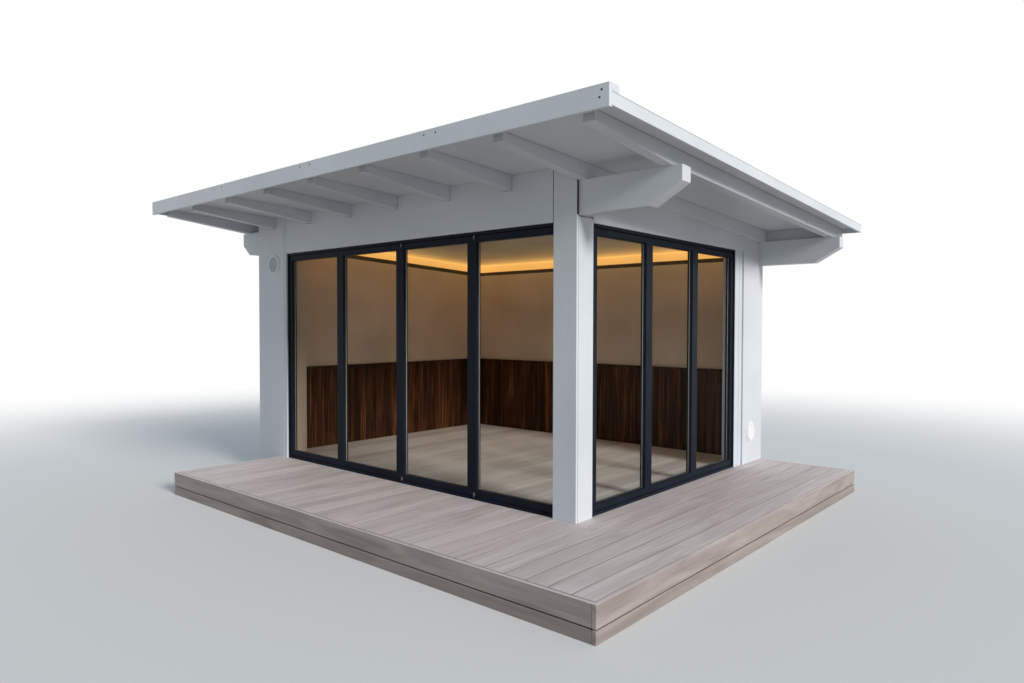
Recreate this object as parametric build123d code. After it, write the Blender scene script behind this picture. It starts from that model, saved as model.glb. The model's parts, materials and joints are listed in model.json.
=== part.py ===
from build123d import *
import os

# Garden office pod: a panelled cabin with folding glass doors on two sides, a low deck round the
# same two sides and a thin monopitch roof on tapered rafters. Lengths in millimetres, +Z up.
# While it is drawn, x = 0 is the outer face of the right wall, y = 0 the outer face of the front
# wall and z = 0 the ground.

# House
house_width = 4200
house_depth = 3250
left_wall_thickness = 200
rear_wall_thickness = 110
right_pier_thickness = 130
front_pier_width = 512
front_pier_return = 120
right_pier_width = 608
facing_thickness = 20
facing_joint = 4
facing_groove_width = 17
facing_groove_depth = 6
facing_groove_setback = 25
front_facing_lap = 23
right_facing_setback = 140
trim_lap = 30
inner_trim_width = 82
inner_trim_thickness = 8
outer_trim_width = 63
outer_trim_thickness = 14
corner_front_width = 203
corner_side_width = 200
corner_post_width = 104
corner_post_depth = 182
corner_side_board_drop = 10

# Deck and floor
deck_top = 206
deck_front_reach = 1083
deck_right_reach = 911
deck_left_inset = 395
deck_rear_inset = 15
deck_board_thickness = 28
deck_edge_groove = 4
deck_fascia_thickness = 28
lower_fascia_height = 74
fascia_shadow_gap = 8
floor_thickness = 30
joist_width = 60
joist_spacing = 500

# Beams and rafters
beam_width = 110
lintel_height = 35
beam_depth = 237
beam_right_reach = 780
beam_left_reach = 360
right_chamfer_run = 234
right_chamfer_rise = 134
left_chamfer_run = 130
left_chamfer_rise = 107
roof_fall = 0.048
rafter_width = 80
rafter_depth = 116
rafter_tip_depth = 66
rafter_front_reach = 830
rafter_pitch = 655
wall_rafter_line = 22.5
inner_rafter_count = 7
left_rafter_reach = 260
notch_clearance = 2
eaves_blocking_thickness = 20
eaves_blocking_inset = 30

# Roof
roof_front_reach = 950
roof_rear_reach = 200
roof_right_reach = 885
roof_left_reach = 360
roof_deck_thickness = 22
roof_covering_thickness = 4
fascia_thickness = 25
fascia_height = 124
kerb_height = 41
kerb_depth = 68
trim_thickness = 22
trim_height = 68

# Door frames
door_frame_top = 2305
door_frame_depth = 75
sill_height = 24
head_height = 23
jamb_width = 40
sill_nose_slope = 6
front_leaf_count = 4
right_leaf_count = 3

# Door leaves, all in one plane
leaf_setback = 10
leaf_thickness = 65
leaf_gap = 4
leaf_seating = 0.3
stile_width = 53
bottom_rail_height = 52
top_rail_height = 50
glass_setback = 20
glass_thickness = 24
glass_bite = 12
bead_slope = 4
hinge_radius = 9
hinge_height = 30
hinge_offset = 35
hinged_meetings = [2, 3]

# Lining
ceiling_thickness = 45
wainscot_height = 909
wainscot_thickness = 18
ledge_depth = 90
ledge_below_ceiling = 98
ledge_height = 35
ledge_board_thickness = 18
ledge_lip_thickness = 12

# Vents
ring_vent_from_left = 310
ring_vent_below_door_top = 100
ring_vent_radius = 102
ring_rim_width = 20
ring_rim_depth = 12
ring_plate_depth = 4
ring_rim_chamfer = 3
disc_vent_from_rear = 289
disc_vent_above_deck = 309
disc_vent_radius = 101
disc_flange_depth = 6
disc_lid_radius = 86
disc_lid_depth = 18
disc_lid_rounding = 5

# Places that follow from the sizes above
left_face = -house_width
rear_face = house_depth
room_left = left_face + left_wall_thickness
room_right = -facing_thickness - right_pier_thickness
room_rear = rear_face - rear_wall_thickness
beam_front = facing_thickness
beam_underside = door_frame_top + lintel_height
room_front = beam_front + beam_width
return_rear = room_front + front_pier_return
rear_beam_front = rear_face - beam_width
front_door_left = left_face + front_pier_width
front_door_right = -facing_thickness - corner_post_width
right_door_near = facing_thickness + corner_post_depth
right_door_far = rear_face - right_pier_width
front_facing_right = front_door_left + front_facing_lap
right_facing_near = right_door_far + right_facing_setback
deck_left = left_face + deck_left_inset
deck_rear = rear_face - deck_rear_inset
beam_seat = beam_underside + beam_depth
roof_left = left_face - roof_left_reach
roof_rear = rear_face + roof_rear_reach
well_above = beam_seat + beam_depth
leaf_bottom = deck_top + sill_height + leaf_gap
leaf_top = door_frame_top - head_height - leaf_gap

# The finished model's origin: the centre of its outline, on the ground
outline_right = max(deck_right_reach, roof_right_reach)
outline_front = -max(deck_front_reach, roof_front_reach)
centre_x = (roof_left + outline_right) / 2
centre_y = (outline_front + roof_rear) / 2

os.makedirs("parts", exist_ok=True)


def save(name, *solids):
    placed = [solid.moved(Location((-centre_x, -centre_y, 0))) for solid in solids]
    shape = placed[0] if len(placed) == 1 else Compound(children=placed)
    export_step(shape, f"parts/{name}.step")


def rectangle(u0, u1, v0, v1):
    return Pos((u0 + u1) / 2, (v0 + v1) / 2) * Rectangle(u1 - u0, v1 - v0)


def polygon(*points):
    return make_face(Polyline(*points, close=True))


# A section of (y, z) carried along x
def along_x(section, x0, x1):
    return extrude(Plane((x0, 0, 0), x_dir=(0, 1, 0), z_dir=(1, 0, 0)) * section, amount=x1 - x0)


# A section of (x, z) carried along y
def along_y(section, y0, y1):
    return extrude(Plane((0, y1, 0), x_dir=(1, 0, 0), z_dir=(0, -1, 0)) * section, amount=y1 - y0)


# A plan of (x, y) carried upwards
def upright(plan, z0, z1):
    return extrude(Plane.XY.offset(z0) * plan, amount=z1 - z0)


# Underside of the rafters over the house
def seat(y):
    return beam_seat - roof_fall * y


# Top of the rafters, where the roof deck lies
def soffit(y):
    return seat(y) + rafter_depth


# A band between two heights over the soffit line, as a (y, z) section that follows the slope
def sloped_band(y0, y1, low, high):
    return polygon(
        (y0, soffit(y0) + low),
        (y1, soffit(y1) + low),
        (y1, soffit(y1) + high),
        (y0, soffit(y0) + high),
    )


# Everything from a sloping line upwards, to plane beams and facings to the roof
def space_over(line):
    y0 = outline_front
    y1 = roof_rear
    section = polygon((y0, line(y0)), (y1, line(y1)), (y1, well_above), (y0, well_above))
    return along_x(section, roof_left, outline_right)


rear_beam_underside = seat(rear_beam_front) - beam_depth
over_seat = space_over(seat)
over_soffit = space_over(soffit)

# Rafter centre lines, from the right: one out on the beams, those over the house, one outside left
rafter_lines = [wall_rafter_line + rafter_pitch]
rafter_lines += [wall_rafter_line - rafter_pitch * bay for bay in range(inner_rafter_count)]
rafter_lines.append(left_face - left_rafter_reach)


def rafter_notches():
    half = rafter_width / 2 + notch_clearance
    bottom = seat(facing_thickness) - notch_clearance
    section = Sketch() + [rectangle(x - half, x + half, bottom, well_above) for x in rafter_lines]
    return along_y(section, 0, facing_thickness)


def deck():
    underside = deck_top - deck_board_thickness
    left = deck_left + deck_fascia_thickness
    right = deck_right_reach - deck_fascia_thickness
    front = -deck_front_reach + deck_fascia_thickness + deck_edge_groove
    rear = deck_rear - deck_fascia_thickness
    save("front_deck", upright(rectangle(left, right, front, 0), underside, deck_top))
    save("side_deck", upright(rectangle(0, right, 0, rear), underside, deck_top))

    front_bars = bars_along_x(left, right, front, 0, underside)
    side_bars = bars_along_x(0, right, joist_spacing / 2, rear, underside)
    save("deck_joists", *front_bars, *side_bars)


# Joists that stand on the ground, evenly spread between two lines
def bars_along_x(x0, x1, y0, y1, top):
    count = max(2, round((y1 - y0) / joist_spacing) + 1)
    step = (y1 - y0 - joist_width) / (count - 1)
    starts = [y0 + step * number for number in range(count)]
    return [upright(rectangle(x0, x1, y, y + joist_width), 0, top) for y in starts]


# Two boards high: the right pair laps over the ends of the front pair
def deck_fascias():
    front = -deck_front_reach
    front_inner = front + deck_fascia_thickness
    right_inner = deck_right_reach - deck_fascia_thickness
    left_inner = deck_left + deck_fascia_thickness
    rear_inner = deck_rear - deck_fascia_thickness
    plans = {
        "front_deck_fascia": [rectangle(deck_left, right_inner, front, front_inner)],
        "side_deck_fascia": [rectangle(right_inner, deck_right_reach, front, deck_rear)],
        "end_deck_fascias": [
            rectangle(deck_left, left_inner, front_inner, 0),
            rectangle(0, right_inner, rear_inner, deck_rear),
        ],
    }
    for name, boards in plans.items():
        lower = [upright(board, 0, lower_fascia_height) for board in boards]
        upper_bottom = lower_fascia_height + fascia_shadow_gap
        upper = [upright(board, upper_bottom, deck_top) for board in boards]
        save(name, *lower, *upper)


# The floor runs out under both door frames, round the foot of the piers
def floor():
    underside = deck_top - floor_thickness
    plan = polygon(
        (room_left, room_front),
        (front_door_left, room_front),
        (front_door_left, facing_thickness),
        (front_facing_right, facing_thickness),
        (front_facing_right, 0),
        (0, 0),
        (0, right_door_far - trim_lap),
        (-facing_thickness, right_door_far - trim_lap),
        (-facing_thickness, right_door_far),
        (room_right, right_door_far),
        (room_right, room_rear),
        (room_left, room_rear),
    )
    save("floor", upright(plan, underside, deck_top))
    near = room_front
    save("floor_joists", *bars_along_x(room_left, room_right, near, room_rear, underside))


def walls():
    section = polygon(
        (room_front, 0),
        (rear_beam_front, 0),
        (rear_beam_front, soffit(rear_beam_front)),
        (room_front, soffit(room_front)),
    )
    save("left_wall", along_x(section, left_face, room_left))

    rear_plan = rectangle(left_face, -facing_thickness, room_rear, rear_face)
    save("rear_wall", upright(rear_plan, 0, rear_beam_underside))

    pier_plan = rectangle(left_face, front_door_left, beam_front, room_front)
    save("front_pier", upright(pier_plan, 0, beam_underside))

    pier_section = polygon(
        (right_door_far, 0),
        (rear_beam_front, 0),
        (rear_beam_front, seat(rear_beam_front)),
        (right_door_far, seat(right_door_far)),
    )
    save("right_pier", along_x(pier_section, room_right, -facing_thickness))


# White facings on the piers, each with an upright shadow groove beside the door
def pier_facings():
    front = upright(rectangle(left_face, front_facing_right, 0, facing_thickness), 0, well_above)
    groove_right = front_facing_right - facing_groove_setback
    groove_left = groove_right - facing_groove_width
    front -= upright(rectangle(groove_left, groove_right, 0, facing_groove_depth), 0, well_above)
    save("front_pier_facing", front - rafter_notches() - over_soffit)

    side_section = polygon(
        (right_facing_near, 0),
        (rear_face, 0),
        (rear_face, rear_beam_underside),
        (rear_beam_front, rear_beam_underside),
        (rear_beam_front, seat(rear_beam_front)),
        (right_facing_near, seat(right_facing_near)),
    )
    save("right_pier_facing", along_x(side_section, -facing_thickness, 0))


# Stepped white trim between the right door frame and its pier facing
def door_trim():
    back = -facing_thickness
    near = right_door_far - trim_lap
    middle = near + inner_trim_width
    plan = polygon(
        (back, near),
        (back + inner_trim_thickness, near),
        (back + inner_trim_thickness, middle),
        (back + outer_trim_thickness, middle),
        (back + outer_trim_thickness, middle + outer_trim_width),
        (back, middle + outer_trim_width),
    )
    save("right_door_trim", upright(plan, 0, door_frame_top))


# The post and its two boards with a shadow joint at the arris; the front board runs up to the soffit
def corner():
    core = rectangle(front_door_right, -facing_thickness, facing_thickness, right_door_near)
    save("corner_post", upright(core, deck_top, beam_underside))
    front = upright(rectangle(-corner_front_width, 0, 0, facing_thickness), deck_top, well_above)
    save("corner_front_board", front - rafter_notches() - over_soffit)
    side = rectangle(-facing_thickness, 0, facing_thickness + facing_joint, corner_side_width)
    save("corner_side_board", upright(side, deck_top, beam_underside - corner_side_board_drop))


# Facings over the doors: the front one is notched round the rafters, the right one tapers with
# the fall of the roof
def headers():
    left = front_facing_right + facing_joint
    right = -corner_front_width - facing_joint
    front = along_y(rectangle(left, right, door_frame_top, well_above), 0, facing_thickness)
    save("front_header", front - rafter_notches() - over_soffit)

    board_edge = corner_side_width + facing_joint
    board_top = beam_underside + facing_joint
    far = right_facing_near - facing_joint
    side_section = polygon(
        (board_edge, door_frame_top),
        (far, door_frame_top),
        (far, seat(far)),
        (room_front, seat(room_front)),
        (room_front, board_top),
        (board_edge, board_top),
    )
    save("right_header", along_x(side_section, -facing_thickness, 0))

    front_lintel = rectangle(front_door_left, front_door_right, door_frame_top, beam_underside)
    right_section = polygon(
        (right_door_near, door_frame_top),
        (right_door_far, door_frame_top),
        (right_door_far, seat(right_door_far)),
        (room_front, seat(room_front)),
        (room_front, beam_underside),
        (right_door_near, beam_underside),
    )
    save("front_lintel", along_y(front_lintel, beam_front, room_front))
    save("right_lintel", along_x(right_section, room_right, -facing_thickness))


# Beam right across the house, cut up at both ends and planed to the roof's fall on top
def beam(name, y0, underside):
    left = left_face - beam_left_reach
    section = polygon(
        (left, well_above),
        (left, underside + left_chamfer_rise),
        (left + left_chamfer_run, underside),
        (beam_right_reach - right_chamfer_run, underside),
        (beam_right_reach, underside + right_chamfer_rise),
        (beam_right_reach, well_above),
    )
    save(name, along_y(section, y0, y0 + beam_width) - over_seat)


# The front tail tapers from the wall to a small upright tip
def rafters():
    tip = -rafter_front_reach
    tail = roof_rear - trim_thickness
    section = polygon(
        (tip, soffit(tip)),
        (tip, soffit(tip) - rafter_tip_depth),
        (0, seat(0)),
        (tail, seat(tail)),
        (tail, soffit(tail)),
    )
    half = rafter_width / 2
    lines = [along_x(section, x - half, x + half) for x in rafter_lines]
    save("rafters", *lines)

    y1 = rear_face - eaves_blocking_inset
    blocking = sloped_band(y1 - eaves_blocking_thickness, y1, -rafter_depth, 0)
    over_beam = sorted(x for x in rafter_lines if x > left_face)
    starts = [left_face] + [x + half for x in over_beam[:-1]]
    ends = [x - half for x in over_beam]
    save("rear_eaves_blocking", *[along_x(blocking, x0, x1) for x0, x1 in zip(starts, ends)])


# Thin roof with a tall front fascia, a kerb behind it, and trims along the other edges
def roof():
    front = -roof_front_reach + fascia_thickness
    rear = roof_rear - trim_thickness
    left = roof_left + trim_thickness
    right = roof_right_reach - trim_thickness
    deck_section = sloped_band(front, rear, 0, roof_deck_thickness)
    save("roof_deck", along_x(deck_section, left, right))
    covering_top = roof_deck_thickness + roof_covering_thickness
    covering = sloped_band(front, roof_rear, roof_deck_thickness, covering_top)
    save("roof_covering", along_x(covering, roof_left, roof_right_reach))

    kerb_top = soffit(front) + covering_top + kerb_height
    fascia_bottom = kerb_top - fascia_height
    fascia = rectangle(-roof_front_reach, front, fascia_bottom, kerb_top)
    save("front_fascia", along_x(fascia, roof_left, roof_right_reach))
    kerb_rear = front + kerb_depth
    kerb = polygon(
        (front, soffit(front) + covering_top),
        (kerb_rear, soffit(kerb_rear) + covering_top),
        (kerb_rear, kerb_top),
        (front, kerb_top),
    )
    save("front_kerb", along_x(kerb, roof_left, roof_right_reach))

    trim_bottom = roof_deck_thickness - trim_height
    side_trim = sloped_band(front, rear, trim_bottom, roof_deck_thickness)
    right_trim = along_x(side_trim, right, roof_right_reach)
    left_trim = along_x(side_trim, roof_left, left)
    save("side_trims", right_trim, left_trim)
    rear_trim = sloped_band(rear, roof_rear, trim_bottom, roof_deck_thickness)
    save("rear_trim", along_x(rear_trim, roof_left, roof_right_reach))


def lining():
    underside = -rafter_depth - ceiling_thickness
    ceiling = sloped_band(room_front, room_rear, underside, -rafter_depth)
    save("ceiling", along_x(ceiling, room_left, room_right))
    top = deck_top + wainscot_height
    left_face_in = room_left + wainscot_thickness
    left = rectangle(room_left, left_face_in, return_rear, room_rear)
    save("left_wainscot", upright(left, deck_top, top))
    rear = rectangle(left_face_in, room_right, room_rear - wainscot_thickness, room_rear)
    save("rear_wainscot", upright(rear, deck_top, top))

    # Inner return of the front pier, up to the ceiling
    return_section = polygon(
        (room_front, deck_top),
        (return_rear, deck_top),
        (return_rear, soffit(return_rear) + underside),
        (room_front, soffit(room_front) + underside),
    )
    save("front_pier_return", along_x(return_section, room_left, front_door_left))
    light_ledges(underside - ledge_below_ceiling)


# Ledges with an upstand that hide the light strips; the left one follows the ceiling's fall
def light_ledges(top):
    low = top - ledge_height
    board_top = low + ledge_board_thickness
    front_edge = room_rear - ledge_depth
    left_edge = room_left + ledge_depth
    lip_inner = left_edge - ledge_lip_thickness
    left_board = along_x(sloped_band(return_rear, front_edge, low, board_top), room_left, left_edge)
    left_lip = along_x(sloped_band(return_rear, front_edge, low, top), lip_inner, left_edge)
    level = soffit(room_rear)
    rear_section = polygon(
        (front_edge, level + low),
        (room_rear, level + low),
        (room_rear, level + board_top),
        (front_edge + ledge_lip_thickness, level + board_top),
        (front_edge + ledge_lip_thickness, level + top),
        (front_edge, level + top),
    )
    save("light_ledges", left_board + left_lip, along_x(rear_section, room_left, room_right))


# Frame of one doorway, drawn with u along the wall and v inwards from the frame's outer face. The
# sill slopes down to its nose in front of the leaves
def door_frame(length):
    sill_top = deck_top + sill_height
    head_bottom = door_frame_top - head_height
    sill = polygon(
        (0, deck_top),
        (door_frame_depth, deck_top),
        (door_frame_depth, sill_top),
        (leaf_setback, sill_top),
        (0, sill_top - sill_nose_slope),
    )
    head = rectangle(0, door_frame_depth, head_bottom, door_frame_top)
    jambs = [
        upright(rectangle(u, u + jamb_width, 0, door_frame_depth), sill_top, head_bottom)
        for u in (0, length - jamb_width)
    ]
    return along_x(sill, 0, length), along_x(head, 0, length), jambs


# Leaf as a ring of stiles and rails with a groove for the glass, and an outer bead that slopes in
def leaf(width):
    outer = rectangle(0, width, leaf_bottom, leaf_top)
    left = stile_width
    right = width - stile_width
    low = leaf_bottom + bottom_rail_height
    high = leaf_top - top_rail_height
    bite = glass_bite
    glass_far = glass_setback + glass_thickness
    glass = along_y(rectangle(left - bite, right + bite, low - bite, high + bite), glass_setback, glass_far)
    sight = rectangle(left, right, low, high)
    front_sight = rectangle(left - bead_slope, right + bead_slope, low - bead_slope, high + bead_slope)
    bead = loft([wall_plane(0) * front_sight, wall_plane(glass_setback) * sight])
    ring = along_y(outer - sight, 0, leaf_thickness) - bead
    return ring - glass, glass


# Upright plane across the wall's thickness, with u along the wall
def wall_plane(v):
    return Plane((0, v, 0), x_dir=(1, 0, 0), z_dir=(0, -1, 0))


# Frame and leaves of one doorway, placed so that u runs along the wall and v into the house
def door_run(side, place, length, leaf_count):
    sill, head, jambs = door_frame(length)
    save(f"{side}_sill", sill.moved(place))
    save(f"{side}_head", head.moved(place))
    save(f"{side}_jambs", *[jamb.moved(place) for jamb in jambs])

    start = jamb_width + leaf_seating
    clear = length - 2 * start
    width = (clear - leaf_seating * (leaf_count - 1)) / leaf_count
    for number in range(leaf_count):
        ring, glass = leaf(width)
        spot = place * Location((start + number * (width + leaf_seating), leaf_setback, 0))
        save(f"{side}_leaf_{number + 1}_frame", ring.moved(spot))
        save(f"{side}_leaf_{number + 1}_glass", glass.moved(spot))
    return start + leaf_seating / 2, width + leaf_seating


def doors():
    front_length = front_door_right - front_door_left
    front_place = Location((front_door_left, facing_thickness, 0))
    start, pitch = door_run("front", front_place, front_length, front_leaf_count)
    right_length = right_door_far - right_door_near
    right_place = Location((-facing_thickness, right_door_near, 0), (0, 0, 90))
    door_run("right", right_place, right_length, right_leaf_count)

    # Barrels of the folding hardware, at foot and head in front of the meeting stiles
    barrels = []
    for meeting in hinged_meetings:
        x = front_door_left + start + meeting * pitch + hinge_offset
        y = facing_thickness + leaf_setback - hinge_radius
        for z in (leaf_bottom, leaf_top - hinge_height):
            plan = Pos(x, y) * Circle(hinge_radius)
            barrels.append(upright(plan, z, z + hinge_height))
    save("door_hinges", *barrels)


# Round vents turned about their own axis: a rimmed plate, and a flange with a domed lid
def vents():
    inner = ring_vent_radius - ring_rim_width
    ring_section = Plane.XZ * polygon(
        (0, 0),
        (ring_vent_radius, 0),
        (ring_vent_radius, ring_rim_depth - ring_rim_chamfer),
        (ring_vent_radius - ring_rim_chamfer, ring_rim_depth),
        (inner, ring_rim_depth),
        (inner, ring_plate_depth),
        (0, ring_plate_depth),
    )
    ring = revolve(ring_section, Axis.Z)
    ring_spot = (left_face + ring_vent_from_left, 0, door_frame_top - ring_vent_below_door_top)
    ring_place = Location(ring_spot, (90, 0, 0))
    save("ring_vent", ring.moved(ring_place))

    flange = Cylinder(disc_vent_radius, disc_flange_depth, align=(Align.CENTER, Align.CENTER, Align.MIN))
    lid = Cylinder(disc_lid_radius, disc_lid_depth, align=(Align.CENTER, Align.CENTER, Align.MIN))
    lid = fillet(lid.edges().group_by(Axis.Z)[-1], disc_lid_rounding)
    disc_spot = (0, rear_face - disc_vent_from_rear, deck_top + disc_vent_above_deck)
    disc_place = Location(disc_spot, (0, 90, 0))
    save("disc_vent", (flange + lid).moved(disc_place))


deck()
deck_fascias()
floor()
walls()
pier_facings()
door_trim()
corner()
headers()
beam("front_beam", beam_front, beam_underside)
beam("rear_beam", rear_beam_front, rear_beam_underside)
rafters()
roof()
lining()
doors()
vents()
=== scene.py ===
import bmesh
import bpy
import json
import math
import numpy as np
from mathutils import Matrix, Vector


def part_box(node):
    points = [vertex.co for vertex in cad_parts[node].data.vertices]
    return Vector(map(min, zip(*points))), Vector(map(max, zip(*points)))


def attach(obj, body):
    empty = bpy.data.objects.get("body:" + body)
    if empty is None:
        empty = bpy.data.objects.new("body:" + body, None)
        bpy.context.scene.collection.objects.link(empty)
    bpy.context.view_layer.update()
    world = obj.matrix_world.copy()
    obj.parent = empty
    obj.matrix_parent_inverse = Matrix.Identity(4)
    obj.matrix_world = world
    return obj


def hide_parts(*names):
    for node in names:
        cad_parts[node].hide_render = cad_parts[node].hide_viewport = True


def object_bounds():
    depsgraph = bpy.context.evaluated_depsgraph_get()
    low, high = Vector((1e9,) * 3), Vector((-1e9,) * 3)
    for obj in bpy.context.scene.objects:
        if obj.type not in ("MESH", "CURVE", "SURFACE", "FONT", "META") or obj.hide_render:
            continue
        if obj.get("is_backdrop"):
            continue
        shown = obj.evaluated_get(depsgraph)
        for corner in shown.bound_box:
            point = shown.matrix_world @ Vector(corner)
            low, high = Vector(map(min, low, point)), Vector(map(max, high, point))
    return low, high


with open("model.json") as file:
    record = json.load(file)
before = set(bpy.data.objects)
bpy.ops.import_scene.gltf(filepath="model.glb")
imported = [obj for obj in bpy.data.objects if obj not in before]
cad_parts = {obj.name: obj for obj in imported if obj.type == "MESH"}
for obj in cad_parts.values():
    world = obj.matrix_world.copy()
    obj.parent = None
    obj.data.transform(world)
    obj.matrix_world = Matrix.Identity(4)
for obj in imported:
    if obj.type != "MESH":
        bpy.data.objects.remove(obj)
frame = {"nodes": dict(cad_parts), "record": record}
cadLow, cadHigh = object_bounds()
nodes = frame["nodes"]
slotOf = {row["node"]: row["material_slot"] for row in frame["record"]["subparts"]}
print("frame loaded:", len(nodes), "parts")


def corners(node):
    low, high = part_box(node)
    return np.array(low), np.array(high)


# The outer faces of the right and front walls, the fall of the roof and the spacing of the rafters
house = {
    "right": corners("right_header")[1][0],
    "front": corners("front_header")[0][1],
    "fall": 0.048,
    "rafterPitch": 0.655,
    "rafterWidth": 0.080,
    "wallRafter": 0.0225,
    "rafterCount": 8,
}
roofLow, roofHigh = corners("roof_deck")
roomLow, roomHigh = corners("ceiling")
slack = 0.001  # a hair's breadth, for things that only just meet


def soffitAt(y):
    # Underside of the roof deck: it rises towards the front by the fall
    return roofLow[2] + house["fall"] * (roofHigh[1] - y)


def ceilingAt(y):
    # Underside of the ceiling, at the same fall
    return roomLow[2] + house["fall"] * (roomHigh[1] - y)


# Node helpers. A socket takes a value or another node's output.


def addNode(tree, kind, inputs=None, **settings):
    made = tree.nodes.new(kind)
    for key, value in settings.items():
        setattr(made, key, value)
    for key, value in (inputs or {}).items():
        if isinstance(value, bpy.types.NodeSocket):
            tree.links.new(value, made.inputs[key])
        else:
            made.inputs[key].default_value = value
    return made


def startMaterial(name, sockets=None):
    # A new material, with plain values on some of its shader's sockets
    material = bpy.data.materials.new(name)
    material.use_nodes = True
    tree = material.node_tree
    shader = tree.nodes["Principled BSDF"]
    for key, value in (sockets or {}).items():
        shader.inputs[key].default_value = value
    return material, tree, shader


def plug(tree, shader, outputs):
    # Links other nodes' outputs to the shader's sockets of these names
    for key, value in outputs.items():
        tree.links.new(value, shader.inputs[key])


def calculate(tree, operation, *values):
    made = addNode(tree, "ShaderNodeMath", dict(enumerate(values)), operation=operation)
    return made.outputs[0]


def place(tree, scale=(1, 1, 1), shift=None):
    # Object coordinates, moved by a per-board shift and stretched by the scale
    point = addNode(tree, "ShaderNodeTexCoord").outputs["Object"]
    if shift is not None:
        moved = addNode(tree, "ShaderNodeVectorMath", {0: point, 1: shift}, operation="ADD")
        point = moved.outputs[0]
    return addNode(tree, "ShaderNodeMapping", {"Vector": point, "Scale": scale}).outputs[0]


def noise(tree, point, scale, detail=3.0, roughness=0.5, distortion=0.0):
    return addNode(tree, "ShaderNodeTexNoise", {
        "Vector": point, "Scale": scale, "Detail": detail,
        "Roughness": roughness, "Distortion": distortion,
    }).outputs[0]


def ramp(tree, value, stops):
    made = addNode(tree, "ShaderNodeValToRGB", {"Fac": value})
    band = made.color_ramp
    while len(band.elements) < len(stops):
        band.elements.new(0.5)
    for element, (position, colour) in zip(band.elements, stops):
        element.position = position
        element.color = (*colour, 1)
    return made.outputs[0]


def twoTone(tree, value, dark, pale, stops=(0.3, 0.7)):
    return ramp(tree, value, list(zip(stops, (dark, pale))))


def spread(tree, value, low, high, fromLow=0.0, fromHigh=1.0):
    # Straight-line change of range
    return addNode(tree, "ShaderNodeMapRange", {
        "Value": value, "From Min": fromLow, "From Max": fromHigh, "To Min": low, "To Max": high,
    }).outputs[0]


def blend(tree, share, first, second, kind="MIX"):
    # Colour mix: socket 0 is the share, 6 and 7 are the two colours
    made = addNode(tree, "ShaderNodeMix", data_type="RGBA", blend_type=kind)
    for socket, value in ((0, share), (6, first), (7, second)):
        if isinstance(value, bpy.types.NodeSocket):
            tree.links.new(value, made.inputs[socket])
        else:
            made.inputs[socket].default_value = (*value, 1) if isinstance(value, tuple) else value
    return made.outputs[2]


def shade(tree, tone, value, low, high):
    # Tone times a number that follows the value from low to high
    return blend(tree, 1.0, tone, spread(tree, value, low, high), "MULTIPLY")


def roughen(tree, shader, height, distance, strength=0.5):
    bump = addNode(tree, "ShaderNodeBump", {
        "Height": height, "Distance": distance, "Strength": strength,
    })
    plug(tree, shader, {"Normal": bump.outputs[0]})


def grain(axis, along, across):
    # Scale that stretches a texture along one axis
    scale = [across] * 3
    scale[axis] = along
    return tuple(scale)


def seenDirectly(tree):
    # 1 for camera, glossy and transmission rays, and 0 for the rest
    path = addNode(tree, "ShaderNodeLightPath").outputs
    seen = calculate(tree, "MAXIMUM", path["Is Camera Ray"], path["Is Glossy Ray"])
    return calculate(tree, "MAXIMUM", seen, path["Is Transmission Ray"])


paint = {
    "colour": (0.65, 0.685, 0.735),
    "shade": (0.58, 0.615, 0.665),
    "stops": (0.3, 0.62),
    "roughness": (0.37, 0.55),
    "slowScale": 1.1,
    "brushAlong": 1.5,
    "brushAcross": 70,
    "brushTone": (0.955, 1.03),
    "brushDepth": 0.0006,
    "bump": 0.35,
    "dustScale": 14,
    "dustRoughness": 0.65,
    "dustTone": (0.96, 1.02),
}


def paintedTimber(name, axis):
    # Satin paint on planed timber: slow changes of tone, brush lines along the grain, faint dust
    material, tree, shader = startMaterial(name)
    brush = grain(axis, paint["brushAlong"], paint["brushAcross"])
    slow = noise(tree, place(tree), paint["slowScale"], detail=4)
    lines = noise(tree, place(tree, brush), 1.0)
    dust = noise(tree, place(tree), paint["dustScale"], detail=4, roughness=paint["dustRoughness"])
    tone = twoTone(tree, slow, paint["shade"], paint["colour"], paint["stops"])
    tone = shade(tree, tone, lines, *paint["brushTone"])
    tone = shade(tree, tone, dust, *paint["dustTone"])
    rough = spread(tree, slow, *paint["roughness"])
    plug(tree, shader, {"Base Color": tone, "Roughness": rough})
    roughen(tree, shader, lines, paint["brushDepth"], paint["bump"])
    return material


wood = {
    "stops": (0.28, 0.5, 0.72),
    "grainJump": 9.0,
    "figureAlong": 0.9,
    "figureRoughness": 0.55,
    "figureBend": 1.4,
    "poreAlong": 6,
    "poreAcross": 240,
    "poreTone": (0.93, 1.05),
    "streakAlong": 1.6,
    "streakAcross": 62,
    "streakTone": (0.84, 1.13),
    "fineRoughness": 0.6,
    "paleShare": 0.6,
    "smoother": 0.1,
    "rougher": 0.12,
    "bump": 0.4,
    "knotAlong": 1.4,
    "knotAcross": 3.0,
    "knotCore": 0.012,
    "knotRim": 0.05,
    "knotTone": 0.45,
}


def boardShift(tree, axis, start, pitch):
    # The number of the board that a point lies in, as a random value and a shift of the grain
    parts = addNode(tree, "ShaderNodeSeparateXYZ", {0: place(tree)})
    fromStart = calculate(tree, "SUBTRACT", parts.outputs[axis], start)
    whole = calculate(tree, "FLOOR", calculate(tree, "DIVIDE", fromStart, pitch))
    chance = addNode(tree, "ShaderNodeTexWhiteNoise", {"W": whole}, noise_dimensions="1D").outputs
    jump = {0: chance["Color"], "Scale": wood["grainJump"]}
    shift = addNode(tree, "ShaderNodeVectorMath", jump, operation="SCALE").outputs[0]
    return chance["Value"], shift


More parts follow.
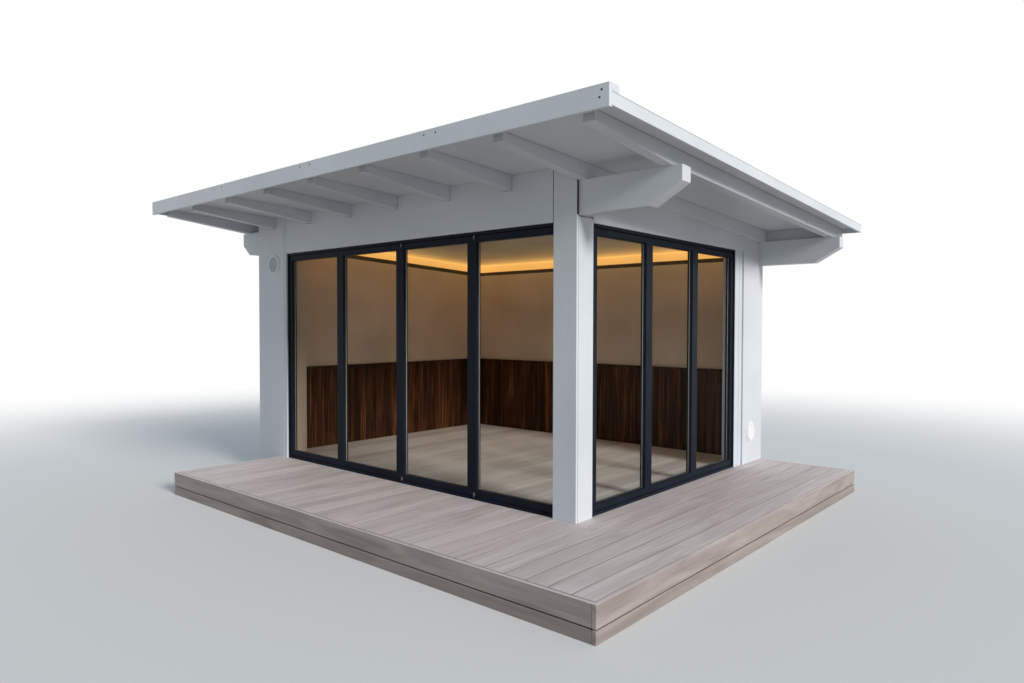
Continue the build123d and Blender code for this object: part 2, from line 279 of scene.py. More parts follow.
def bareTimber(name, axis, colours, boardGrid=None, roughness=0.6, depth=0.0012, knots=0.0,
               tint=0.16, figureScale=11, gloss=0.5, topColours=None):
    # Bare wood: long figure from stretched noise, streaks and fine pores across it, a tone of its
    # own for each board (axis, start, pitch), and knots from stretched cells. With topColours =
    # (height, colours), what lies above that height has those colours.
    material, tree, shader = startMaterial(name, {"Specular IOR Level": gloss})
    chance, shift = boardShift(tree, *boardGrid) if boardGrid else (0.5, None)

    def along(first, second):
        return place(tree, grain(axis, first, second), shift)

    figure = noise(tree, along(wood["figureAlong"], figureScale), 1.0, detail=5,
                   roughness=wood["figureRoughness"], distortion=wood["figureBend"])
    pores = noise(tree, along(wood["poreAlong"], wood["poreAcross"]), 1.0, detail=2,
                  roughness=wood["fineRoughness"])
    streaks = noise(tree, along(wood["streakAlong"], wood["streakAcross"]), 1.0,
                    roughness=wood["fineRoughness"])
    tone = ramp(tree, figure, list(zip(wood["stops"], colours)))
    if topColours:
        height, paler = topColours
        level = addNode(tree, "ShaderNodeSeparateXYZ", {0: place(tree)}).outputs["Z"]
        top = spread(tree, level, 0.0, 1.0, height - slack, height)
        tone = blend(tree, top, tone, ramp(tree, figure, list(zip(wood["stops"], paler))))
    tone = shade(tree, tone, streaks, *wood["streakTone"])
    tone = shade(tree, tone, pores, *wood["poreTone"])
    if boardGrid:
        tone = shade(tree, tone, chance, 1 - tint, 1 + tint * wood["paleShare"])
    if knots:
        cells = addNode(tree, "ShaderNodeTexVoronoi", {
            "Vector": along(wood["knotAlong"], wood["knotAcross"]), "Scale": 1.0, "Randomness": 1.0,
        }).outputs["Distance"]
        knot = spread(tree, cells, 1.0, 0.0, wood["knotCore"], wood["knotRim"] * knots)
        tone = blend(tree, knot, tone, tuple(c * wood["knotTone"] for c in colours[0]))
    rough = spread(tree, figure, roughness - wood["smoother"], roughness + wood["rougher"])
    plug(tree, shader, {"Base Color": tone, "Roughness": rough})
    roughen(tree, shader, streaks, depth, wood["bump"])
    return material


doorCoat = {
    "dark": (0.0075, 0.0105, 0.018),
    "pale": (0.0125, 0.0165, 0.026),
    "roughness": (0.35, 0.49),
    "gloss": 0.05,
    "slowScale": 3.0,
    "peelScale": 900,
    "peelDepth": 0.0002,
    "bump": 0.25,
}


def powderCoat():
    # Dark blue-grey coat with a fine orange-peel surface
    material, tree, shader = startMaterial("doorCoat", {"Specular IOR Level": doorCoat["gloss"]})
    slow = noise(tree, place(tree), doorCoat["slowScale"])
    peel = noise(tree, place(tree), doorCoat["peelScale"], detail=1)
    plug(tree, shader, {
        "Base Color": twoTone(tree, slow, doorCoat["dark"], doorCoat["pale"]),
        "Roughness": spread(tree, slow, *doorCoat["roughness"]),
    })
    roughen(tree, shader, peel, doorCoat["peelDepth"], doorCoat["bump"])
    return material


pane = {
    "thickness": 0.004,
    "edge": 0.0008,
    "index": 1.015,
    "light": 0.96,
    "smearScale": 2.2,
    "smeared": (0.95, 0.97, 0.96),
    "clean": (0.98, 0.99, 0.985),
}


def clearGlass():
    # Faint smears in the tint. What the eye sees goes through the glass; daylight for the room
    # passes straight through, a little weakened at each face.
    material, tree, shader = startMaterial("clearGlass", {
        "Roughness": 0.0, "IOR": pane["index"], "Transmission Weight": 1.0,
    })
    smears = noise(tree, place(tree), pane["smearScale"])
    plug(tree, shader, {"Base Color": twoTone(tree, smears, pane["smeared"], pane["clean"])})
    through = addNode(tree, "ShaderNodeBsdfTransparent", {"Color": (pane["light"],) * 3 + (1,)})
    mixed = addNode(tree, "ShaderNodeMixShader", {
        0: seenDirectly(tree), 1: through.outputs[0], 2: shader.outputs[0],
    })
    plug(tree, tree.nodes["Material Output"], {"Surface": mixed.outputs[0]})
    return material


moulded = {"finer": 60, "smoother": 0.06, "rougher": 0.08, "bump": 0.3}
plainFinishes = {
    # Black for the glazing seals and spacers, and as painted shade in the corner strips and joints
    "blackSeal": {"dark": (0.006, 0.006, 0.007), "pale": (0.013, 0.013, 0.015),
                  "scale": 30, "roughness": 0.65, "depth": 0.0002},
    "roofSheet": {"dark": (0.42, 0.425, 0.43), "pale": (0.52, 0.525, 0.53),
                  "scale": 2.5, "roughness": 0.75, "depth": 0.0008},
    # The roof deck is dark as painted shade: it shows only in the shadow gaps round the soffit
    # panels
    "roofDeckBoard": {"dark": (0.10, 0.095, 0.09), "pale": (0.16, 0.15, 0.14),
                      "scale": 5, "roughness": 0.8, "depth": 0.0008},
    "ventPlastic": {"dark": (0.74, 0.75, 0.77), "pale": (0.80, 0.81, 0.83),
                    "scale": 20, "roughness": 0.45, "depth": 0.0002},
    "spacerBars": {"dark": (0.46, 0.46, 0.44), "pale": (0.58, 0.58, 0.56),
                   "scale": 25, "roughness": 0.35, "depth": 0.0001, "metallic": 0.5},
    "hingeBarrels": {"dark": (0.07, 0.074, 0.082), "pale": (0.12, 0.125, 0.135),
                     "scale": 60, "roughness": 0.5, "depth": 0.0001, "metallic": 0.6},
    "screwHeads": {"dark": (0.02, 0.022, 0.03), "pale": (0.04, 0.042, 0.05),
                   "scale": 90, "roughness": 0.5, "depth": 0.0001, "metallic": 0.3},
}


def mottled(name, dark, pale, scale, roughness, depth, metallic=0.0):
    # Plain moulded, rubber, sheet or metal surface: cloudy tone and a fine skin
    material, tree, shader = startMaterial(name, {"Metallic": metallic})
    cloud = noise(tree, place(tree), scale, detail=4)
    skin = noise(tree, place(tree), scale * moulded["finer"], detail=2)
    rough = spread(tree, cloud, roughness - moulded["smoother"], roughness + moulded["rougher"])
    plug(tree, shader, {"Base Color": twoTone(tree, cloud, dark, pale), "Roughness": rough})
    roughen(tree, shader, skin, depth, moulded["bump"])
    return material


# Walls and ceiling of the room, with painted light: the warm light of the hidden strips is painted
# on as a glow that the plaster emits, strongest at the ceiling corner of the left and rear walls
# and fading down the wall and out over the ceiling.
roomPaintAndGlow = {
    "dark": (0.55, 0.435, 0.33),
    "pale": (0.69, 0.55, 0.415),
    "roughness": (0.8, 0.92),
    "gloss": 0.15,
    "cloudScale": 1.6,
    "skinScale": 90,
    "skinDepth": 0.0005,
    "bump": 0.3,
    "light": (1.0, 0.50, 0.115),
    "strength": 0.80,
    "reach": 0.22,
    "depth": 0.6,
    "fade": ((0.0, 1.0), (0.025, 0.82), (0.163, 0.76), (0.185, 0.20), (0.42, 0.045), (1.0, 0.0)),
}
ceilingPaintAndGlow = dict(roomPaintAndGlow, dark=(0.58, 0.51, 0.37), pale=(0.70, 0.62, 0.46), reach=0.34)


def glowPaintedPlaster(name, look):
    # Painted glow that the plaster emits: e to the power of minus the distance from the nearer wall
    # over the reach, times a fade by the distance below the ceiling over the depth
    material, tree, shader = startMaterial(name, {"Specular IOR Level": look["gloss"]})
    parts = addNode(tree, "ShaderNodeSeparateXYZ", {0: place(tree)}).outputs
    fromLeft = calculate(tree, "SUBTRACT", parts["X"], roomLow[0])
    fromRear = calculate(tree, "SUBTRACT", roomHigh[1], parts["Y"])
    ceiling = calculate(tree, "MULTIPLY_ADD", fromRear, house["fall"], roomLow[2])
    below = calculate(tree, "SUBTRACT", ceiling, parts["Z"])
    below = calculate(tree, "DIVIDE", below, look["depth"])
    nearer = calculate(tree, "MINIMUM", fromLeft, fromRear)
    away = calculate(tree, "DIVIDE", nearer, -look["reach"])
    down = ramp(tree, below, [(at, (share,) * 3) for at, share in look["fade"]])
    glow = calculate(tree, "MULTIPLY", calculate(tree, "EXPONENT", away), down)
    cloud = noise(tree, place(tree), look["cloudScale"], detail=4)
    skin = noise(tree, place(tree), look["skinScale"], detail=2)
    plug(tree, shader, {
        "Base Color": twoTone(tree, cloud, look["dark"], look["pale"]),
        "Roughness": spread(tree, cloud, *look["roughness"]),
        "Emission Strength": calculate(tree, "MULTIPLY", glow, look["strength"]),
    })
    shader.inputs["Emission Color"].default_value = (*look["light"], 1)
    roughen(tree, shader, skin, look["skinDepth"], look["bump"])
    return material


lamp = {
    "dark": (0.80, 0.62, 0.36),
    "pale": (0.88, 0.70, 0.42),
    "light": (1.0, 0.62, 0.26),
    "strength": (0.85, 1.0),
    "roughness": 0.5,
    "cloudScale": 6,
}


def lampSkin():
    # Diffuser of the light strips: warm, and a little uneven along its length
    material, tree, shader = startMaterial("stripDiffuser", {"Roughness": lamp["roughness"]})
    cloud = noise(tree, place(tree), lamp["cloudScale"], detail=2)
    plug(tree, shader, {
        "Base Color": twoTone(tree, cloud, lamp["dark"], lamp["pale"]),
        "Emission Strength": spread(tree, cloud, *lamp["strength"]),
    })
    shader.inputs["Emission Color"].default_value = (*lamp["light"], 1)
    return material


# Looks of the timber: dark, middle and pale colour of the figure, and the boards' sizes
deckLook = {
    "pitch": 0.156,
    "joint": house["right"] + 0.735,
    "gap": 0.0055,
    "radius": 0.0009,
    "narrowest": 0.02,
    "colours": ((0.53, 0.45, 0.445), (0.64, 0.56, 0.555), (0.735, 0.665, 0.655)),
    # Colours below the deck's top, seen in the joints: painted shade in the gaps between the boards
    "inJoints": ((0.035, 0.028, 0.026), (0.05, 0.041, 0.038), (0.07, 0.058, 0.054)),
    "finish": {"roughness": 0.62, "tint": 0.10},
}
edgeLook = {
    "boardGrid": (2, 0.078, 0.5),
    "colours": ((0.245, 0.205, 0.19), (0.345, 0.295, 0.275), (0.43, 0.375, 0.35)),
    "finish": {"roughness": 0.58, "knots": 1.0},
}
floorLook = {
    "pitch": 0.19,
    "gap": 0.0015,
    "radius": 0.0006,
    "thickness": 0.002,
    "cutFrom": 0.25,
    "cutSpan": 0.5,
    "stagger": 0.618,
    "colours": ((0.60, 0.55, 0.525), (0.69, 0.645, 0.615), (0.77, 0.725, 0.70)),
    "finish": {"roughness": 0.5, "depth": 0.0004},
}
wainscotLook = {
    "pitch": 0.095,
    "gap": 0.003,
    "radius": 0.004,
    "capHeight": 0.032,
    "capProud": 0.012,
    "capRadius": 0.003,
    "colours": ((0.010, 0.0035, 0.0018), (0.045, 0.015, 0.0055), (0.19, 0.070, 0.022)),
    "finish": {"roughness": 0.45, "knots": 0.8, "tint": 0.5, "figureScale": 26, "gloss": 0.12},
}
sawnLook = {
    "colours": ((0.25, 0.17, 0.10), (0.36, 0.26, 0.16), (0.45, 0.34, 0.22)),
    "finish": {"roughness": 0.75},
}
# The ledges are near-black brown: painted shade of their faces, which stand dark under the glow
ledgeLook = {
    "colours": ((0.05, 0.037, 0.016), (0.075, 0.055, 0.026), (0.10, 0.075, 0.038)),
    "finish": {"roughness": 0.7},
}

paintX = paintedTimber("paintAlongX", 0)
paintY = paintedTimber("paintAlongY", 1)
paintZ = paintedTimber("paintUpright", 2)
# The deck's top is weathered pale; below it, in the joints, the wood is near-black as painted
# shade in the gaps between the boards
deckTop = (corners("front_deck_fascia")[1][2] - slack / 2, deckLook["colours"])
deckTimber = bareTimber("deckBoards", 1, deckLook["inJoints"],
                        (0, deckLook["joint"], deckLook["pitch"]), topColours=deckTop,
                        **deckLook["finish"])
edgeTimberX, edgeTimberY = [
    bareTimber(name, axis, edgeLook["colours"], edgeLook["boardGrid"], topColours=deckTop,
               **edgeLook["finish"])
    for axis, name in enumerate(("deckEdgeAlongX", "deckEdgeAlongY"))
]
sawnTimber = bareTimber("sawnJoists", 0, sawnLook["colours"], **sawnLook["finish"])
floorTimber = bareTimber("floorPlanks", 1, floorLook["colours"],
                         (0, roomLow[0], floorLook["pitch"]), **floorLook["finish"])
wainscotX, wainscotY = [
    bareTimber(name, 2, wainscotLook["colours"], (axis, start, wainscotLook["pitch"]),
               **wainscotLook["finish"])
    for name, axis, start in (("wainscotRear", 0, roomLow[0]), ("wainscotLeft", 1, roomHigh[1]))
]
ledgeTimber = bareTimber("ledgeTimber", 1, ledgeLook["colours"], **ledgeLook["finish"])
coat = powderCoat()
glass = clearGlass()
plaster = glowPaintedPlaster("roomPlaster", roomPaintAndGlow)
ceilingPlaster = glowPaintedPlaster("ceilingPlaster", ceilingPaintAndGlow)
diffuser = lampSkin()
sealAndShade, roofSheet, darkRoofDeck, ventPlastic, spacerMetal, pinMetal, screwSteel = [
    mottled(name, **finish) for name, finish in plainFinishes.items()
]
print("materials made")

# Material by the end of a part's name. The rest is painted timber, upright or along x.
looks = {
    "_glass": glass,
    "_sill": coat,
    "_head": coat,
    "_jambs": coat,
    "_vent": ventPlastic,
    "_hinges": pinMetal,
    "front_deck_fascia": edgeTimberX,
    "side_deck_fascia": edgeTimberY,
    "end_deck_fascias": edgeTimberY,
    "joists": sawnTimber,
    "floor": floorTimber,
    "ceiling": ceilingPlaster,
    "_pier_return": plaster,
    "light_ledges": ledgeTimber,
    "roof_covering": roofSheet,
    "roof_deck": darkRoofDeck,
    "rafters": paintY,
    "side_trims": paintY,
    "right_header": paintY,
}
uprightParts = ("corner", "pier", "wall", "door_trim")


def lookFor(name):
    for ending, material in looks.items():
        if name.endswith(ending):
            return material
    if "leaf" in name:
        return coat
    return paintZ if any(word in name for word in uprightParts) else paintX


for name, part in nodes.items():
    part.data.materials.clear()
    part.data.materials.append(lookFor(name))


def showPiece(name, mesh, material, slot, replaced=()):
    mesh.materials.append(material)
    piece = bpy.data.objects.new(name, mesh)
    bpy.context.scene.collection.objects.link(piece)
    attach(piece, "root")
    if replaced:
        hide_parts(*replaced)
    return piece


def showMesh(name, shape, material, slot, replaced=(), sharpAbove=20):
    # Puts points and faces in a mesh with its shells turned outwards. Edges that turn by more than
    # sharpAbove degrees are sharp.
    points, faces = shape
    mesh = bpy.data.meshes.new(name)
    mesh.from_pydata(np.asarray(points).reshape(-1, 3).tolist(), [], faces)
    shell = bmesh.new()
    shell.from_mesh(mesh)
    bmesh.ops.recalc_face_normals(shell, faces=shell.faces)
    shell.to_mesh(mesh)
    shell.free()
    mesh.polygons.foreach_set("use_smooth", np.ones(len(mesh.polygons), bool))
    mesh.set_sharp_from_angle(angle=math.radians(sharpAbove))
    return showPiece(name, mesh, material, slot, replaced)


def loft(rings, closedPath=False):
    # rings[body, ring, point] holds points in space. Quads join each ring to the next. The first
    # and last ring of a body are filled, or joined to each other where the path is closed.
    bodies, ringCount, around = rings.shape[:3]
    index = np.arange(bodies * ringCount * around).reshape(bodies, ringCount, around)
    here = index if closedPath else index[:, :-1]
    there = np.roll(index, -1, 1) if closedPath else index[:, 1:]
    quads = np.stack([here, np.roll(here, -1, 2), np.roll(there, -1, 2), there], -1)
    faces = quads.reshape(-1, 4).tolist()
    if not closedPath:
        faces += index[:, 0, ::-1].tolist() + index[:, -1].tolist()
    return rings.reshape(-1, 3), faces


def joined(*shapes):
    # Several shapes as one: each one's faces count on from the points before it
    starts = np.cumsum([0] + [len(points) for points, _ in shapes])
    faces = [[i + start for i in face] for (_, part), start in zip(shapes, starts) for face in part]
    return np.concatenate([points for points, _ in shapes]), faces


def easedSection(width, thickness, radius, steps=3):
    # Rectangles about their centre with quarter-circle corners: corner centre plus radius times
    # (cos, sin) of the angle. There is one width for each board.
    width = np.atleast_1d(width)[:, None]
    turn = np.linspace(0, math.pi / 2, steps)
    angle = (turn[None] + np.arange(4)[:, None] * math.pi / 2).ravel()
    sign = np.repeat(np.array([[1, 1], [-1, 1], [-1, -1], [1, -1]]), steps, 0)
    across = sign[:, 0] * (width / 2 - radius) + radius * np.cos(angle)
    up = sign[:, 1] * (thickness / 2 - radius) + radius * np.sin(angle) + 0 * width
    return across, up


def boards(starts, ends, across, along, thickness, radius, bottom, fall=0.0):
    # Straight boards side by side. starts and ends are their edges on the across axis, along is
    # the (axis, from, to) of their length, and the third axis is their thickness from bottom. With
    # a fall, height drops by the fall times y.
    axis, first, last = along
    third = 3 - axis - across
    starts, ends = np.atleast_1d(starts).astype(float), np.atleast_1d(ends).astype(float)
    side, up = easedSection(ends - starts, thickness, radius)
    first, last = np.broadcast_to(first, starts.shape), np.broadcast_to(last, starts.shape)
    rings = np.zeros((len(starts), 2, side.shape[1], 3))
    rings[..., across] = (side + ((starts + ends) / 2)[:, None])[:, None]
    rings[..., third] = (up + bottom + thickness / 2)[:, None]
    rings[..., axis] = np.stack([first, last], 1)[:, :, None]
    rings[..., 2] -= fall * rings[..., 1]
    return loft(rings)


def rectangle(low, high):
    # Corners of a flat rectangle between two points
    return [(low[0], low[1]), (high[0], low[1]), (high[0], high[1]), (low[0], high[1])]


def prism(outline, axis, first, last):
    # An outline on the two axes other than axis, carried along it from first to last
    outline = np.asarray(outline, float)
    rings = np.zeros((1, 2, len(outline), 3))
    one, two = [a for a in range(3) if a != axis]
    rings[..., one] = outline[:, 0]
    rings[..., two] = outline[:, 1]
    rings[0, :, :, axis] = [[first], [last]]
    return loft(rings)


def turned(profile, centres, axis, direction, steps=24):
    # A profile of (radius, height) turned about an axis: each ring is the circle of its radius,
    # raised by its height in the direction
    profile = np.asarray(profile, float)
    centres = np.atleast_2d(centres)
    angle = np.arange(steps) * 2 * math.pi / steps
    rings = np.zeros((len(centres), len(profile), steps, 3))
    one, two = [a for a in range(3) if a != axis]
    rings[..., one] = profile[:, 0, None] * np.cos(angle)
    rings[..., two] = profile[:, 0, None] * np.sin(angle)
    rings[..., axis] = direction * profile[:, 1, None]
    return loft(rings + centres[:, None, None])


def frameLoop(rims, flat, face, section):
    # A section of (rim, inwards, outwards) carried round a rectangle with mitred corners. rims
    # holds rectangles as (low, high) corners, and each point of the section starts from the one
    # that it names and moves inwards along both sides. flat is the axis that the rectangles face,
    # and face is their place on that axis.
    one, two = [a for a in range(3) if a != flat]
    corner = np.array([[0, 0], [1, 0], [1, 1], [0, 1]])
    rims, section = np.asarray(rims, float), np.asarray(section, float)
    start = section[:, 0].astype(int)
    rings = np.zeros((1, 4, len(section), 3))
    for axis, pick in ((one, corner[:, 0]), (two, corner[:, 1])):
        sides = rims[start[None], pick[:, None], axis]
        rings[0, :, :, axis] = sides + np.where(pick, -1, 1)[:, None] * section[:, 1]
    rings[0, :, :, flat] = face + section[:, 2]
    return loft(rings, closedPath=True)


def evenEdges(first, last, pitch, gap, narrowest=0.4):
    # Edges of boards of one pitch between two lines. The last board takes what is left, and more
    # where that would be narrower than the given share of the pitch.
    edges = np.append(np.arange(first, last - narrowest * pitch, pitch), last)
    return edges[:-1] + gap / 2, edges[1:] - gap / 2


# Visible boards and door metal get eased edges: a merged copy of the part with a small bevel
easing = {
    "timber": 0.0025,
    "metal": 0.0014,
    "bevelAbove": 20,
    "mergeWithin": 0.00001,
    "flatWithin": 1,
    "timberParts": ("_fascia", "_fascias", "_kerb", "_trim", "_trims", "rafters", "_beam",
                    "_header", "corner_front_board", "corner_side_board", "_facing"),
    "metalParts": ("_sill", "_head", "_jambs"),
}


def camelName(node):
    first, *others = node.split("_")
    return first + "".join(word.capitalize() for word in others)


def easeEdges(piece, width):
    bevel = piece.modifiers.new("easedEdges", "BEVEL")
    bevel.width = width
    bevel.segments = 2
    bevel.limit_method = "ANGLE"
    bevel.angle_limit = math.radians(easing["bevelAbove"])


def easedCopy(node, width):
    shell = bmesh.new()
    shell.from_mesh(nodes[node].data)
    bmesh.ops.remove_doubles(shell, verts=shell.verts, dist=easing["mergeWithin"])
    bmesh.ops.dissolve_limit(shell, angle_limit=math.radians(easing["flatWithin"]),
                             verts=shell.verts, edges=shell.edges)
    mesh = bpy.data.meshes.new(camelName(node))
    shell.to_mesh(mesh)
    shell.free()
    mesh.polygons.foreach_set("use_smooth", np.zeros(len(mesh.polygons), bool))
    easeEdges(showPiece(mesh.name, mesh, lookFor(node), slotOf[node], (node,)), width)


for node in sorted(nodes):
    if node.endswith(easing["timberParts"]):
        easedCopy(node, easing["timber"])
    if node.endswith(easing["metalParts"]):
        easedCopy(node, easing["metal"])
print("edges eased")

# Door leaves: a ring with a groove for the glass, an outer bead that slopes in to the glass and an
# inner bead that slopes away from it. Places count inwards from the rim of the ring (0) or from
# the line of sight (1), and from the outer face into the room.
leafRing = {
    "bite": 0.012,
    "outerSlope": 0.004,
    "glassFrom": 0.020,
    "glassTo": 0.044,
    "innerLip": 0.003,
    "innerSlope": 0.029,
    "depth": 0.065,
}
leafSection = np.array([
    (0, 0, 0),
    (1, -leafRing["outerSlope"], 0),
    (1, 0, leafRing["glassFrom"]),
    (1, -leafRing["bite"], leafRing["glassFrom"]),
    (1, -leafRing["bite"], leafRing["glassTo"]),
    (1, -leafRing["innerLip"], leafRing["glassTo"]),
    (1, -leafRing["innerSlope"], leafRing["depth"]),
    (0, 0, leafRing["depth"]),
])
for node in sorted(n for n in nodes if "leaf" in n and n.endswith("_frame")):
    rimLow, rimHigh = corners(node)
    paneLow, paneHigh = corners(node.replace("_frame", "_glass"))
    rims = [(rimLow, rimHigh), (paneLow + leafRing["bite"], paneHigh - leafRing["bite"])]
    if node.startswith("front"):
        shape = frameLoop(rims, 1, rimLow[1], leafSection)
    else:
        shape = frameLoop(rims, 0, rimHigh[0], leafSection * (1, 1, -1))
    easeEdges(showMesh(camelName(node), shape, coat, slotOf[node], (node,)), easing["metal"])
print("leaves framed")

# Deck boards run front to back on both sides. Those right of the front wall are the long ones, and
# the one that crosses its corner has a second, narrower board behind it.
frontLow, frontHigh = corners("front_deck")
sideLow, sideHigh = corners("side_deck")
count = math.ceil((deckLook["joint"] - frontLow[0]) / deckLook["pitch"])
joints = deckLook["joint"] - deckLook["pitch"] * np.arange(count)[::-1]
edges = np.concatenate([[frontLow[0]], joints, [frontHigh[0]]])
starts, ends = edges[:-1] + deckLook["gap"] / 2, edges[1:] - deckLook["gap"] / 2
keep = ends - starts > deckLook["narrowest"]
starts, ends = starts[keep], ends[keep]
lengths = np.where(starts >= sideLow[0] - slack, sideHigh[1], frontHigh[1])
crossing = (starts < sideLow[0]) & (ends > sideLow[0])
deckSection = (frontHigh[2] - frontLow[2], deckLook["radius"])
deckShape = joined(
    boards(starts, ends, 0, (1, frontLow[1], lengths), *deckSection, frontLow[2]),
    boards(sideLow[0], ends[crossing], 0, (1, sideLow[1], sideHigh[1]), *deckSection, sideLow[2]),
)
showMesh("deckBoards", deckShape, deckTimber, "deck_wood", ("front_deck", "side_deck"))
print("deck laid")

# Floor planks in two lengths with staggered joints, on the boards of the floor part. The room's
# outline is three zones of (left, right, near, far).
leftLow, leftHigh = corners("left_wainscot")
rearLow, rearHigh = corners("rear_wainscot")
pierLow = corners("right_pier")[0]
returnHigh = corners("front_pier_return")[1]
zones = [
    (leftHigh[0], returnHigh[0], returnHigh[1], rearLow[1]),
    (returnHigh[0], pierLow[0], corners("front_leaf_1_frame")[1][1], rearLow[1]),
    (pierLow[0], corners("right_leaf_1_frame")[0][0], corners("corner_post")[1][1], pierLow[1]),
]
planks = []
for left, right, near, far in zones:
    starts, ends = evenEdges(left, right, floorLook["pitch"], floorLook["gap"])
    turn = np.mod(np.arange(len(starts)) * floorLook["stagger"], 1)
    cut = near + (far - near) * (floorLook["cutFrom"] + floorLook["cutSpan"] * turn)
    for first, last in ((near, cut - floorLook["gap"] / 2), (cut + floorLook["gap"] / 2, far)):
        planks.append(boards(starts, ends, 0, (1, first, last), floorLook["thickness"],
                             floorLook["radius"], corners("floor")[1][2]))
showMesh("floorPlanks", joined(*planks), floorTimber, "floor_wood")

# Upright wainscot planks under a thin rail, on the left and rear walls
gap, pitch, radius = wainscotLook["gap"], wainscotLook["pitch"], wainscotLook["radius"]
top = rearHigh[2] - wainscotLook["capHeight"]
proud = wainscotLook["capProud"]
depth = rearHigh[1] - rearLow[1]
capSection = (depth + proud, wainscotLook["capRadius"])
rearShape = joined(
    boards(*evenEdges(rearLow[0], rearHigh[0], pitch, gap), 0, (2, rearLow[2], top), depth, radius,
           rearLow[1]),
    boards(top, rearHigh[2], 2, (0, rearLow[0], rearHigh[0]), *capSection, rearLow[1] - proud),
)
showMesh("rearWainscotBoards", rearShape, wainscotX, "wainscot_wood", ("rear_wainscot",))
leftShape = joined(
    boards(*evenEdges(leftLow[1], leftHigh[1], pitch, gap), 1, (2, leftLow[2], top), depth, radius,
           leftLow[0]),
    boards(top, leftHigh[2], 2, (1, leftLow[1], leftHigh[1]), *capSection, leftLow[0]),
)
showMesh("leftWainscotBoards", leftShape, wainscotY, "wainscot_wood", ("left_wainscot",))

# Plaster on the room's side of the walls
plasterSkin = {"thickness": 0.002, "top": 0.0005}
lintelBottom = corners("front_lintel")[0][2]
floorTop = rearLow[2]
wallTop = rearHigh[2]


def sideSkin(near, far, bottom, first, last):
    # Side walls: the top edge follows the ceiling
    outline = [(near, bottom), (far, bottom), (far, ceilingAt(far) + plasterSkin["top"]),
               (near, ceilingAt(near) + plasterSkin["top"])]
    return prism(outline, 0, first, last)


def endSkin(left, right, bottom, first, last):
    # Front and rear walls: the top edge is level, at the ceiling over the middle of the skin
    high = ceilingAt((first + last) / 2) + plasterSkin["top"]
    return prism(rectangle((left, bottom), (right, high)), 1, first, last)


thin = plasterSkin["thickness"]
wallShape = joined(
    sideSkin(returnHigh[1], roomHigh[1], wallTop, roomLow[0], roomLow[0] + thin),
    endSkin(roomLow[0], roomHigh[0], wallTop, roomHigh[1] - thin, roomHigh[1]),
    sideSkin(pierLow[1], roomHigh[1], floorTop, roomHigh[0] - thin, roomHigh[0]),
    sideSkin(roomLow[1], pierLow[1], lintelBottom, roomHigh[0] - thin, roomHigh[0]),
    endSkin(returnHigh[0], roomHigh[0], lintelBottom, roomLow[1], roomLow[1] + thin),
)
showMesh("wallPlaster", wallShape, plaster, "white_paint")

# Light strips lying in the two ledges, a hand's width under the ceiling
strip = {
    "fromWall": 0.045,
    "width": 0.010,
    "thickness": 0.004,
    "edge": 0.001,
    "belowCeiling": 0.098,
    "boardDrop": 0.017,
    "endGap": 0.03,
}
drop = strip["belowCeiling"]
near, far = returnHigh[1] + strip["endGap"], roomHigh[1] - strip["fromWall"]
left, right = roomLow[0] + strip["fromWall"], roomHigh[0] - strip["endGap"]
stripSection = (strip["thickness"], strip["edge"])
leftStrip = boards(left, left + strip["width"], 0, (1, near, far), *stripSection,
                   ceilingAt(0) - drop - strip["boardDrop"], house["fall"])
rearStrip = boards(far - strip["width"], far, 1, (0, left + strip["fromWall"], right),
                   *stripSection, ceilingAt(far) - drop - strip["boardDrop"])
showMesh("lightStrips", joined(leftStrip, rearStrip), diffuser, "white_paint")
print("room lined")

# Soffit panels between the rafters, with a shadow gap all round. The rafter lines start one pitch
# right of the wall's own. A bay is (left, right, near, far).
soffit = {"thickness": 0.006, "gap": 0.005, "edge": 0.0015}
wallLine = house["right"] + house["wallRafter"]
rafterLines = wallLine + house["rafterPitch"] * (1 - np.arange(house["rafterCount"]))
halfRafter = house["rafterWidth"] / 2
leftRafterLow = corners("rafters")[0][0]
blockLow, blockHigh = corners("rear_eaves_blocking")
wallLeft = corners("left_wall")[0][0]
front, rear = roofLow[1], roofHigh[1]
bays = [(rafterLines[0] + halfRafter, roofHigh[0], front, rear),
        (rafterLines[1] + halfRafter, rafterLines[0] - halfRafter, front, blockLow[1]),
        (rafterLines[1] + halfRafter, rafterLines[0] - halfRafter, blockHigh[1], rear),
        (leftRafterLow + house["rafterWidth"], wallLeft, front, rear),
        (roofLow[0], leftRafterLow, front, rear)]
inner = [(b + halfRafter, a - halfRafter) for a, b in zip(rafterLines[1:-1], rafterLines[2:])]
inner.append((wallLeft, rafterLines[-1] - halfRafter))
bays += [(left, right, front, house["front"]) for left, right in inner]
bays += [(left, right, blockHigh[1], rear) for left, right in inner]
left, right, near, far = np.array(bays).T
gap = soffit["gap"]
soffitShape = boards(left + gap, right - gap, 0, (1, near + gap, far - gap), soffit["thickness"],
                     soffit["edge"], soffitAt(0) - soffit["thickness"], house["fall"])
showMesh("soffitPanels", soffitShape, paintY, "white_paint")

# Black strip on the end of the front corner board, above the beam's underside: painted shade for
# the dark gap there
shadeStrip = {"depth": 0.0015, "inset": 0.001}
boardLow, boardHigh = corners("corner_front_board")
beamBottom = corners("front_beam")[0][2]
near, far = boardLow[1] + shadeStrip["inset"], boardHigh[1]
sealOutline = [(near, beamBottom), (far, beamBottom), (far, soffitAt(far)),
               (near, soffitAt(boardLow[1]))]
sealShape = prism(sealOutline, 0, boardHigh[0], boardHigh[0] + shadeStrip["depth"])
showMesh("cornerSeal", sealShape, sealAndShade, "door_metal")

# Black bars in the eased corners between the header and the corner board, and between the two deck
# fascias that meet at the corner: painted shade in these joints
jointShadeBar = {"into": 0.0015, "behind": 0.0006, "depth": 0.006}
headerLow, headerHigh = corners("front_header")
edgeLow, edgeHigh = corners("front_deck_fascia")


